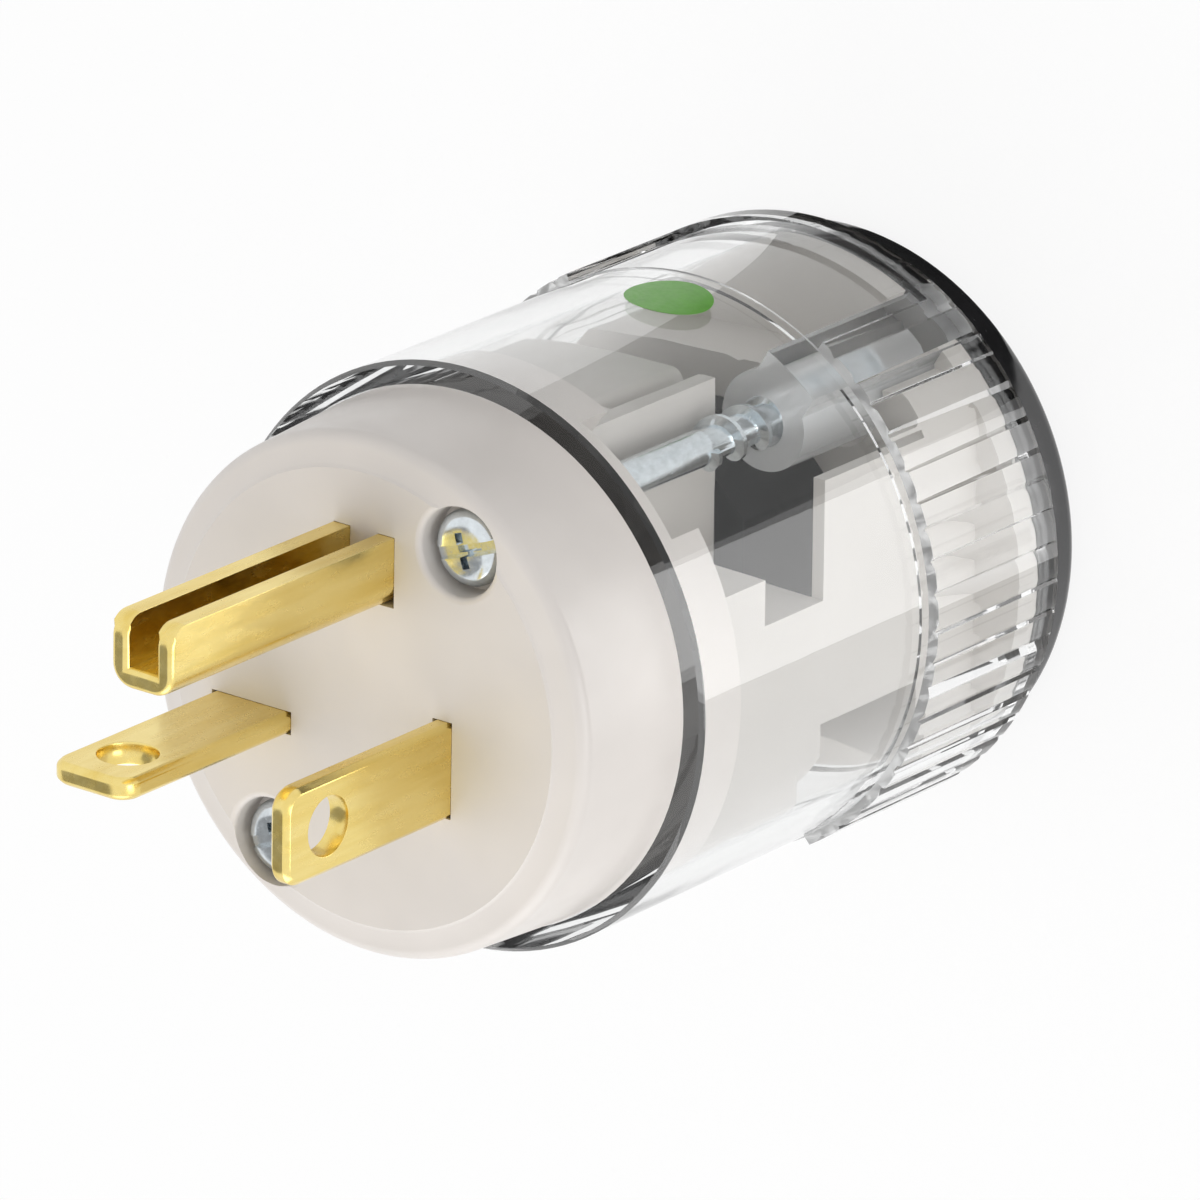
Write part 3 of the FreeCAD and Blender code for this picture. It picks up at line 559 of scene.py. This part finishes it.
def clear_plastic(name, tone, frost, body, clear):
    """Clear moulded plastic: a polished or frosted skin with faint waves, which lets light in."""
    finish = Finish(name)
    finish.set(Base_Color=(*tone, 1.0), Transmission_Weight=clear, IOR=1.55)
    waves = finish.noise(0.28, 0.0)
    finish.drive(finish.ramp(waves, frost, frost + 0.03), "Roughness")
    finish.bump(waves, 0.1, 0.04)
    path = finish.nodes.new("ShaderNodeLightPath")
    deep = finish.ramp(path.outputs["Glossy Depth"], 0.0, 0.06, 2.0, 3.0)
    lit = any_of(finish.nodes, finish.links, path.outputs["Is Shadow Ray"], path.outputs["Is Diffuse Ray"])
    way = any_of(finish.nodes, finish.links, lit, deep)
    finish.drive(finish.ramp(way, body, 0.14, 0.0, 1.0), "Alpha")
    return finish.material


def black_nylon(tone):
    """Black moulded nylon with a dull, finely grained skin."""
    finish = Finish("black_nylon")
    finish.set(Specular_IOR_Level=0.15)
    finish.drive(finish.tint(finish.noise(0.8), shade(tone, 0.8), shade(tone, 1.5)), "Base Color")
    finish.drive(finish.ramp(finish.noise(1.5, 5.0), 0.38, 0.55), "Roughness")
    finish.bump(finish.noise(4.0, 4.0), 0.3, 0.01)
    return finish.material


def glossy_rubber(tone):
    """Glossy black moulded rubber."""
    finish = Finish("glossy_rubber")
    finish.set(IOR=1.75)
    finish.drive(finish.tint(finish.noise(0.5), shade(tone, 0.8), shade(tone, 1.4)), "Base Color")
    finish.drive(finish.ramp(finish.noise(1.2, 5.0), 0.16, 0.28), "Roughness")
    finish.bump(finish.noise(1.4, 4.0), 0.12, 0.01)
    return finish.material


def printed_ink(tone):
    """Pad-printed ink: an even field of colour with a slightly dry skin."""
    finish = Finish("printed_ink")
    finish.drive(finish.tint(finish.noise(1.2, 4.0), shade(tone, 0.93), shade(tone, 1.06)), "Base Color")
    finish.drive(finish.ramp(finish.noise(3.0, 4.0), 0.28, 0.42), "Roughness")
    finish.bump(finish.noise(6.0, 4.0), 0.15, 0.004)
    return finish.material


class PLUG_OT_face(bpy.types.Operator):
    """Turns the white face and cuts its blade slots and sunk screw seats"""

    bl_idname = "plug.face"
    bl_label = "Face"

    def execute(self, context):
        sizes = context.scene.plug_sizes
        top = FACE_BOX[1].z
        foot = FACE_BOX[0].z
        edge = top - sizes.ring_drop
        inner = sizes.skirt_radius - sizes.skirt_wall
        piece = lathe("face_moulding", [
            (inner, top - sizes.face_thickness),
            (inner, foot),
            (sizes.skirt_radius, foot),
            (sizes.skirt_radius, foot + sizes.skirt_straight),
            *quarter(sizes.face_radius, edge, sizes.face_round, 1),
            (sizes.ring_radius + 0.25 * MM, top - sizes.ring_drop * 0.45),
            (sizes.ring_radius, top),
        ], 160)
        gap = Vector((sizes.slot_gap, sizes.slot_gap, 0.0))
        under = top - sizes.face_thickness - MM
        over = top + MM
        for node in ("hot_blade", "neutral_blade"):
            low, high = (Vector(corner) for corner in self.section(node, top))
            low.z, high.z = under, over
            cut(piece, block(low - gap, high + gap))
        low, high = (Vector(corner) for corner in self.section("ground_pin", top))
        low.z, high.z = under, over
        wall = sizes.pin_wall
        left = block(low - gap, Vector((low.x + wall, high.y, over)) + gap)
        right = block(Vector((high.x - wall, low.y, under)) - gap, high + gap)
        fold = block(low - gap, Vector((high.x, low.y + wall, over)) + gap)
        cut(piece, left, right, fold)
        seat = lathe("seat_cutter", [
            (sizes.thread_radius + 0.25 * MM, under),
            (sizes.thread_radius + 0.25 * MM, sizes.head_top - sizes.head_height),
            (sizes.seat_radius, sizes.head_top - sizes.head_height),
            *self.flare(sizes.seat_radius, top, sizes.seat_round),
            (sizes.seat_radius + sizes.seat_round, over),
        ], 64)
        move_to_screw(seat, sizes)
        cut(piece, copy_across(seat, "seat_cutter_below"), seat)
        notch = (sizes.notch_depth, sizes.notch_width, sizes.notch_height * 2)
        cut(piece, turned_block((sizes.notch_x, sizes.notch_y, foot), notch, sizes.notch_angle))
        smooth(piece)
        finish_piece(piece, moulded_nylon("face_nylon", context.scene.plug_colours.face_white, 0.36),
                     "face_nylon", "face_base")
        return {"FINISHED"}

    def section(self, node, height):
        """The corners of the box round a strip where it leaves the face."""
        points = [vertex.co for vertex in frame["nodes"][node].data.vertices if vertex.co.z > height]
        return [[pick_end(point[axis] for point in points) for axis in range(3)] for pick_end in (min, max)]

    def flare(self, radius, height, size, steps=5):
        """Rings of a rounded rim that opens outwards to the face."""
        rings = []
        for step in range(steps + 1):
            angle = math.pi / 2 * step / steps
            rings.append((radius + size * (1 - math.cos(angle)), height - size * (1 - math.sin(angle))))
        return rings


class PLUG_OT_inner_mouldings(bpy.types.Operator):
    """Rounds the edges of the white mouldings behind the clear wall, whose white nylon is darkened with painted
    shade
    """

    bl_idname = "plug.inner_mouldings"
    bl_label = "Inner mouldings"

    def execute(self, context):
        sizes = context.scene.plug_sizes
        # White nylon with painted shade: darker than the face's white, standing for light lost through the clear
        # wall.
        nylon = moulded_nylon("inner_nylon", context.scene.plug_colours.inner_white_painted_shade, 0.42)
        terminals = joined("terminal_block", "terminal_moulding")
        outside = 20.0 * MM
        recess = block((sizes.recess_x, sizes.recess_y, sizes.recess_rear),
                       (outside, outside, FACE_BOX[0].z + 0.01 * MM))
        step = block((sizes.recess_x, sizes.step_y, sizes.step_rear),
                     (outside, sizes.recess_y + 0.05 * MM, sizes.step_front))
        cut(terminals, recess, step)
        soften(terminals, sizes.moulded_round)
        finish_piece(terminals, nylon, "inner_nylon", "terminal_block")
        carrier = softened("clamp_carrier", "carrier_moulding", sizes.moulded_round)
        finish_piece(carrier, nylon, "inner_nylon", "clamp_carrier")
        return {"FINISHED"}


class PLUG_OT_contacts(bpy.types.Operator):
    """Rounds the edges of the two blades and the ground pin"""

    bl_idname = "plug.contacts"
    bl_label = "Contacts"

    def execute(self, context):
        sizes = context.scene.plug_sizes
        colours = context.scene.plug_colours
        brass = rolled_brass(colours.brass_gold, colours.brass_shade)
        for node, name in (("hot_blade", "hot_strip"), ("neutral_blade", "neutral_strip")):
            finish_piece(softened(node, name, sizes.edge_round), brass, "brass", node)
        fold = joined("ground_pin", "ground_fold")
        self.round_tip(fold, sizes.tip_reach, sizes.tip_round)
        soften(fold, sizes.edge_round)
        finish_piece(fold, brass, "brass", "ground_pin")
        return {"FINISHED"}

    def round_tip(self, piece, reach, width):
        """Rounds the sharp edges near the tip of a strip more than the others."""
        edit(piece)
        bpy.ops.mesh.select_mode(type="EDGE")
        bpy.ops.mesh.select_all(action="DESELECT")
        bpy.ops.mesh.edges_select_sharp(sharpness=math.radians(40.0))
        leave()
        points = piece.data.vertices
        near = max(point.co.z for point in points) - reach
        weights = piece.data.attributes.new("bevel_weight_edge", "FLOAT", "EDGE")
        for edge in piece.data.edges:
            if edge.select and all(points[index].co.z > near for index in edge.vertices):
                weights.data[edge.index].value = 1.0
        apply_modifier(piece, "BEVEL", width=width, segments=4, limit_method="WEIGHT", use_clamp_overlap=False)
        piece.data.attributes.remove(piece.data.attributes["bevel_weight_edge"])


class PLUG_OT_screws(bpy.types.Operator):
    """Turns the two long screws, with their coarse threads and slotted cross heads, and plates the small ones"""

    bl_idname = "plug.screws"
    bl_label = "Screws"

    def execute(self, context):
        sizes = context.scene.plug_sizes
        zinc = zinc_plate(context.scene.plug_colours.zinc)
        top = sizes.head_top
        under = top - sizes.head_height
        radius = sizes.head_radius
        foot = sizes.thread_start - sizes.thread_turns * sizes.thread_pitch
        piece = lathe("upper_long_screw", [
            *((radius * share, top - fall * MM) for share, fall in HEAD_PROFILE),
            (radius * 0.98, under + 0.1 * MM),
            (radius * 0.93, under),
            (sizes.shank_radius + 0.15 * MM, under),
            (sizes.shank_radius, under - 0.2 * MM),
            (sizes.shank_radius, sizes.thread_start + 0.3 * MM),
            (sizes.shank_radius * 0.94, sizes.thread_start),
            (sizes.shank_radius * 0.94, foot - 0.3 * MM),
            (sizes.shank_radius * 0.2, foot - 1.2 * MM),
        ], 48)
        fuse(piece, helix(sizes))
        middle = Vector((0.0, 0.0, top))
        slot = turned_block(middle, (radius * 2.2, sizes.slot_width, sizes.slot_depth * 2), sizes.slot_angle)
        arms = (radius * 1.25, sizes.slot_width * 0.95, sizes.cross_depth * 2)
        cross = [turned_block(middle, arms, sizes.slot_angle + extra, 0.5) for extra in (0.0, math.pi / 2)]
        cut(piece, slot, *cross)
        apply_modifier(piece, "BEVEL", width=0.05 * MM, segments=2, limit_method="ANGLE",
                       angle_limit=math.radians(50.0), use_clamp_overlap=True)
        smooth(piece, 40.0)
        move_to_screw(piece, sizes)
        for screw in (piece, copy_across(piece, "lower_long_screw")):
            finish_piece(screw, zinc, "plated_steel", "assembly_screws")
        for side in ("hot", "neutral", "ground"):
            paint(zinc, side + "_terminal_screw", side + "_wire_clamp")
        return {"FINISHED"}


class PLUG_OT_sleeve(bpy.types.Operator):
    """Draws the grooves of the clear sleeve to lines, rounds its edges and frosts its posts and step"""

    bl_idname = "plug.sleeve"
    bl_label = "Clear sleeve"

    def execute(self, context):
        sizes = context.scene.plug_sizes
        tint = context.scene.plug_colours.clear_tint
        piece = joined("clear_housing", "clear_sleeve")
        self.narrow_grooves(piece, sizes)
        soften(piece, sizes.sleeve_round)
        finish_piece(piece, clear_plastic("clear_plastic", tint, 0.0, 1.0, 1.0), "clear_plastic", "clear_housing")
        piece.data.materials.append(clear_plastic("frosted_plastic", tint, 0.22, 0.8, 0.6))
        along = Vector((math.cos(sizes.screw_angle), math.sin(sizes.screw_angle)))
        for polygon in piece.data.polygons:
            middle = polygon.center
            reach = abs(middle.xy.dot(along)) - sizes.screw_ring
            across = abs(middle.xy.cross(along))
            out = middle.xy.length
            on_post = math.hypot(reach, across) < sizes.post_radius + 0.05 * MM
            beside = 0.0 < reach and across < sizes.web_width / 2 + 0.05 * MM
            inside = out < sizes.sleeve_radius - MM and middle.z < sizes.post_top + 0.1 * MM
            on_step = out > sizes.sleeve_radius and abs(middle.z - sizes.collar_top - 0.1 * MM) < 0.2 * MM
            polygon.material_index = 1 if on_post or on_step or (beside and inside) else 0
        return {"FINISHED"}

    def narrow_grooves(self, piece, sizes):
        """Draws the floor of each groove to one line, and lifts it level behind the smooth panels."""
        floor = sizes.groove_floor
        choose(piece, lambda vertex: abs(vertex.co.xy.length - floor) < 0.02 * MM)
        bpy.ops.mesh.remove_doubles(threshold=sizes.groove_width * 1.1)
        leave()
        lines = {vertex.index: vertex.co.copy() for vertex in piece.data.vertices if vertex.select}
        level = {index for index, point in lines.items()
                 if math.atan2(abs(point.x), abs(point.y)) < sizes.panel_angle / 2}
        rear = {index for index, point in lines.items() if point.z < sizes.collar_top / 4}
        self.lift(piece, set(lines) - level, rear, floor, sizes.groove_lift)
        self.lift(piece, level, rear, floor, sizes.groove_depth)

    def lift(self, piece, chosen, rear, floor, rise):
        """Lifts points from the groove floor, and those at the rear edge forwards along its slope as well."""
        grow = (floor + rise) / floor
        choose(piece, lambda vertex: vertex.index in chosen)
        bpy.ops.transform.resize(value=(grow, grow, 1.0), center_override=(0.0, 0.0, 0.0))
        choose(piece, lambda vertex: vertex.index in chosen and vertex.index in rear)
        bpy.ops.transform.translate(value=(0.0, 0.0, rise))
        leave()


class PLUG_OT_cord_grip(bpy.types.Operator):
    """Rounds the cord jaws and turns the rear seal"""

    bl_idname = "plug.cord_grip"
    bl_label = "Cord grip"

    def execute(self, context):
        sizes = context.scene.plug_sizes
        colours = context.scene.plug_colours
        nylon = black_nylon(colours.jaw_black)
        for node, name in (("right_cord_jaw", "right_jaw"), ("left_cord_jaw", "left_jaw")):
            finish_piece(softened(node, name, sizes.edge_round), nylon, "black_nylon", node)
        foot = SEAL_BOX[0].z
        top = SEAL_BOX[1].z - sizes.seal_gap
        flange = foot + sizes.seal_flange - sizes.seal_gap
        plug = sizes.seal_plug - sizes.seal_gap
        piece = lathe("rear_seal", [
            *reversed(quarter(sizes.seal_radius, foot, sizes.seal_round, -1)),
            *quarter(sizes.seal_radius, flange, 0.25 * MM, 1, 3),
            (plug, flange),
            (plug, top),
        ], 160)
        way = lathe("way_cutter", [(sizes.cord_radius, foot - MM), (sizes.cord_radius, top + MM)], 96)
        mouth = lathe("mouth_cutter", [
            (sizes.seal_mouth, foot - MM), (sizes.seal_mouth, foot + sizes.seal_mouth_depth)])
        cut(piece, way, mouth)
        smooth(piece)
        finish_piece(piece, glossy_rubber(colours.seal_black), "black_rubber", "cord_seal")
        return {"FINISHED"}


class PLUG_OT_dot(bpy.types.Operator):
    """Lays the printed dot on the clear sleeve"""

    bl_idname = "plug.dot"
    bl_label = "Printed dot"

    def execute(self, context):
        sizes = context.scene.plug_sizes
        start_fresh()
        above = SLEEVE_BOX[1].y + 2 * MM
        bpy.ops.mesh.primitive_circle_add(
            vertices=72, radius=sizes.dot_radius, fill_type="NGON", rotation=(-math.pi / 2, 0.0, 0.0),
            location=(sizes.dot_side, above, sizes.dot_height))
        piece = context.object
        piece.name = "printed_dot"
        apply_place(piece)
        edit(piece)
        for _ in range(6):
            bpy.ops.mesh.inset(thickness=sizes.dot_radius / 7)
        leave()
        apply_modifier(piece, "SHRINKWRAP", target=frame["nodes"]["clear_housing"], wrap_method="PROJECT",
                       use_project_y=True, use_negative_direction=True, use_positive_direction=False,
                       offset=sizes.dot_film * 0.5)
        apply_modifier(piece, "SOLIDIFY", thickness=sizes.dot_film, offset=1.0)
        smooth(piece)
        finish_piece(piece, printed_ink(context.scene.plug_colours.dot_green), "clear_plastic")
        return {"FINISHED"}


def place_lamp(name, power, edge, place, mirrored):
    """A square soft lamp that looks at the plug, and shows itself in mirrors at most."""
    lamp = bpy.data.lights.new(name, "AREA")
    lamp.energy = power
    lamp.shape = "RECTANGLE"
    lamp.size = lamp.size_y = edge
    holder = bpy.data.objects.new(name, lamp)
    bpy.context.scene.collection.objects.link(holder)
    holder.location = place
    holder.rotation_mode = "QUATERNION"
    holder.rotation_quaternion = (Vector(AIM) - Vector(place)).to_track_quat("-Z", "Y")
    holder.visible_camera = False
    holder.visible_glossy = mirrored


def seen_rays(nodes, links):
    """One where the camera, a mirror or clear plastic shows a surface, and nought for other light."""
    path = nodes.new("ShaderNodeLightPath")
    return any_of(nodes, links, path.outputs["Is Camera Ray"], path.outputs["Is Transmission Ray"],
                  path.outputs["Is Glossy Ray"])


def white_glow(nodes, strength):
    """A plain white emission."""
    glow = nodes.new("ShaderNodeEmission")
    glow.inputs["Color"].default_value = (1.0, 1.0, 1.0, 1.0)
    glow.inputs["Strength"].default_value = strength
    return glow.outputs["Emission"]


def make_floor(tone, shadow_share):
    """A wide pale floor that stays white to the camera and keeps a soft shadow."""
    start_fresh()
    bpy.ops.mesh.primitive_plane_add(size=6.0, location=(0.0, 0.0, 0.0))
    floor = bpy.context.object
    floor.name = "studio_floor"
    material = bpy.data.materials.new("studio_floor")
    material.use_nodes = True
    nodes = material.node_tree.nodes
    links = material.node_tree.links
    shader = nodes["Principled BSDF"]
    shader.inputs["Base Color"].default_value = (*tone, 1.0)
    shader.inputs["Roughness"].default_value = 0.9
    share = nodes.new("ShaderNodeMath")
    share.operation = "MULTIPLY"
    share.inputs[1].default_value = 1.0 - shadow_share
    links.new(seen_rays(nodes, links), share.inputs[0])
    mix = nodes.new("ShaderNodeMixShader")
    links.new(share.outputs[0], mix.inputs["Fac"])
    links.new(shader.outputs["BSDF"], mix.inputs[1])
    links.new(white_glow(nodes, 1.0), mix.inputs[2])
    links.new(mix.outputs["Shader"], nodes["Material Output"].inputs["Surface"])
    floor.data.materials.append(material)


def make_card(name, corners, strength):
    """A flat card between four corners in millimetres, which only mirrors show."""
    start_fresh()
    bpy.ops.mesh.primitive_plane_add(size=1.0)
    card = bpy.context.object
    card.name = name
    for vertex, corner in zip(card.data.vertices, corners):
        vertex.co = Vector(corner) * MM
    material = bpy.data.materials.new(name)
    material.use_nodes = True
    nodes = material.node_tree.nodes
    material.node_tree.links.new(white_glow(nodes, strength), nodes["Material Output"].inputs["Surface"])
    card.data.materials.append(material)
    card.visible_camera = False
    card.visible_diffuse = False
    card.visible_transmission = False
    card.visible_shadow = False


def make_world(surround):
    """A plain room that is white to the camera and through clear plastic."""
    world = bpy.data.worlds.new("studio")
    bpy.context.scene.world = world
    world.use_nodes = True
    nodes = world.node_tree.nodes
    links = world.node_tree.links
    room = nodes["Background"]
    room.inputs["Color"].default_value = (1.0, 1.0, 1.0, 1.0)
    spread = nodes.new("ShaderNodeMapRange")
    spread.inputs["To Min"].default_value = surround
    spread.inputs["To Max"].default_value = 1.0
    links.new(seen_rays(nodes, links), spread.inputs["Value"])
    links.new(spread.outputs["Result"], room.inputs["Strength"])


class PLUG_OT_stage(bpy.types.Operator):
    """Sets the floor, the lamps and the camera"""

    bl_idname = "plug.stage"
    bl_label = "Stage"

    def execute(self, context):
        scene = context.scene
        stage = scene.plug_stage
        make_floor(scene.plug_colours.floor_white, stage.shadow_share)
        make_world(stage.surround)
        make_card("white_card", WHITE_CARD, stage.strip)
        make_card("dark_card", DARK_CARD, stage.dark_card)
        make_card("dark_flag", DARK_FLAG, stage.dark_flag)
        for name, value, edge, place, mirrored in LAMPS:
            place_lamp(name, getattr(stage, value), edge, place, mirrored)
        lens = bpy.data.cameras.new("camera")
        lens.lens = stage.lens
        lens.sensor_width = 36.0
        lens.clip_start = 0.05
        lens.clip_end = 20.0
        camera = bpy.data.objects.new("camera", lens)
        scene.collection.objects.link(camera)
        back = -Vector(stage.look).normalized()
        right = Vector(stage.up).cross(back).normalized()
        up = back.cross(right)
        turn = Matrix((right, up, back)).transposed()
        camera.matrix_world = Matrix.Translation(Vector(stage.eye)) @ turn.to_4x4()
        scene.camera = camera
        scene.view_settings.view_transform = "Standard"
        return {"FINISHED"}


class PLUG_PT_panel(bpy.types.Panel):
    """Lists the plug's operators"""

    bl_idname = "PLUG_PT_panel"
    bl_label = "Clear grounding plug"
    bl_space_type = "VIEW_3D"
    bl_region_type = "UI"
    bl_category = "Plug"

    def draw(self, context):
        for operator in OPERATORS:
            self.layout.operator(operator.bl_idname)


OPERATORS = (
    PLUG_OT_face,
    PLUG_OT_inner_mouldings,
    PLUG_OT_contacts,
    PLUG_OT_screws,
    PLUG_OT_sleeve,
    PLUG_OT_cord_grip,
    PLUG_OT_dot,
    PLUG_OT_stage,
)
CLASSES = (PlugSizes, PlugColours, PlugStage, *OPERATORS, PLUG_PT_panel)


def register():
    for item in CLASSES:
        bpy.utils.register_class(item)
    bpy.types.Scene.plug_sizes = bpy.props.PointerProperty(type=PlugSizes)
    bpy.types.Scene.plug_colours = bpy.props.PointerProperty(type=PlugColours)
    bpy.types.Scene.plug_stage = bpy.props.PointerProperty(type=PlugStage)


def unregister():
    del bpy.types.Scene.plug_stage
    del bpy.types.Scene.plug_colours
    del bpy.types.Scene.plug_sizes
    for item in reversed(CLASSES):
        bpy.utils.unregister_class(item)


def main():
    """Registers the add-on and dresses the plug."""
    register()
    bpy.ops.plug.face()
    bpy.ops.plug.inner_mouldings()
    bpy.ops.plug.contacts()
    bpy.ops.plug.screws()
    bpy.ops.plug.sleeve()
    bpy.ops.plug.cord_grip()
    bpy.ops.plug.dot()
    bpy.ops.plug.stage()
    start_fresh()
    bpy.context.view_layer.update()


if __name__ == "__main__":
    main()
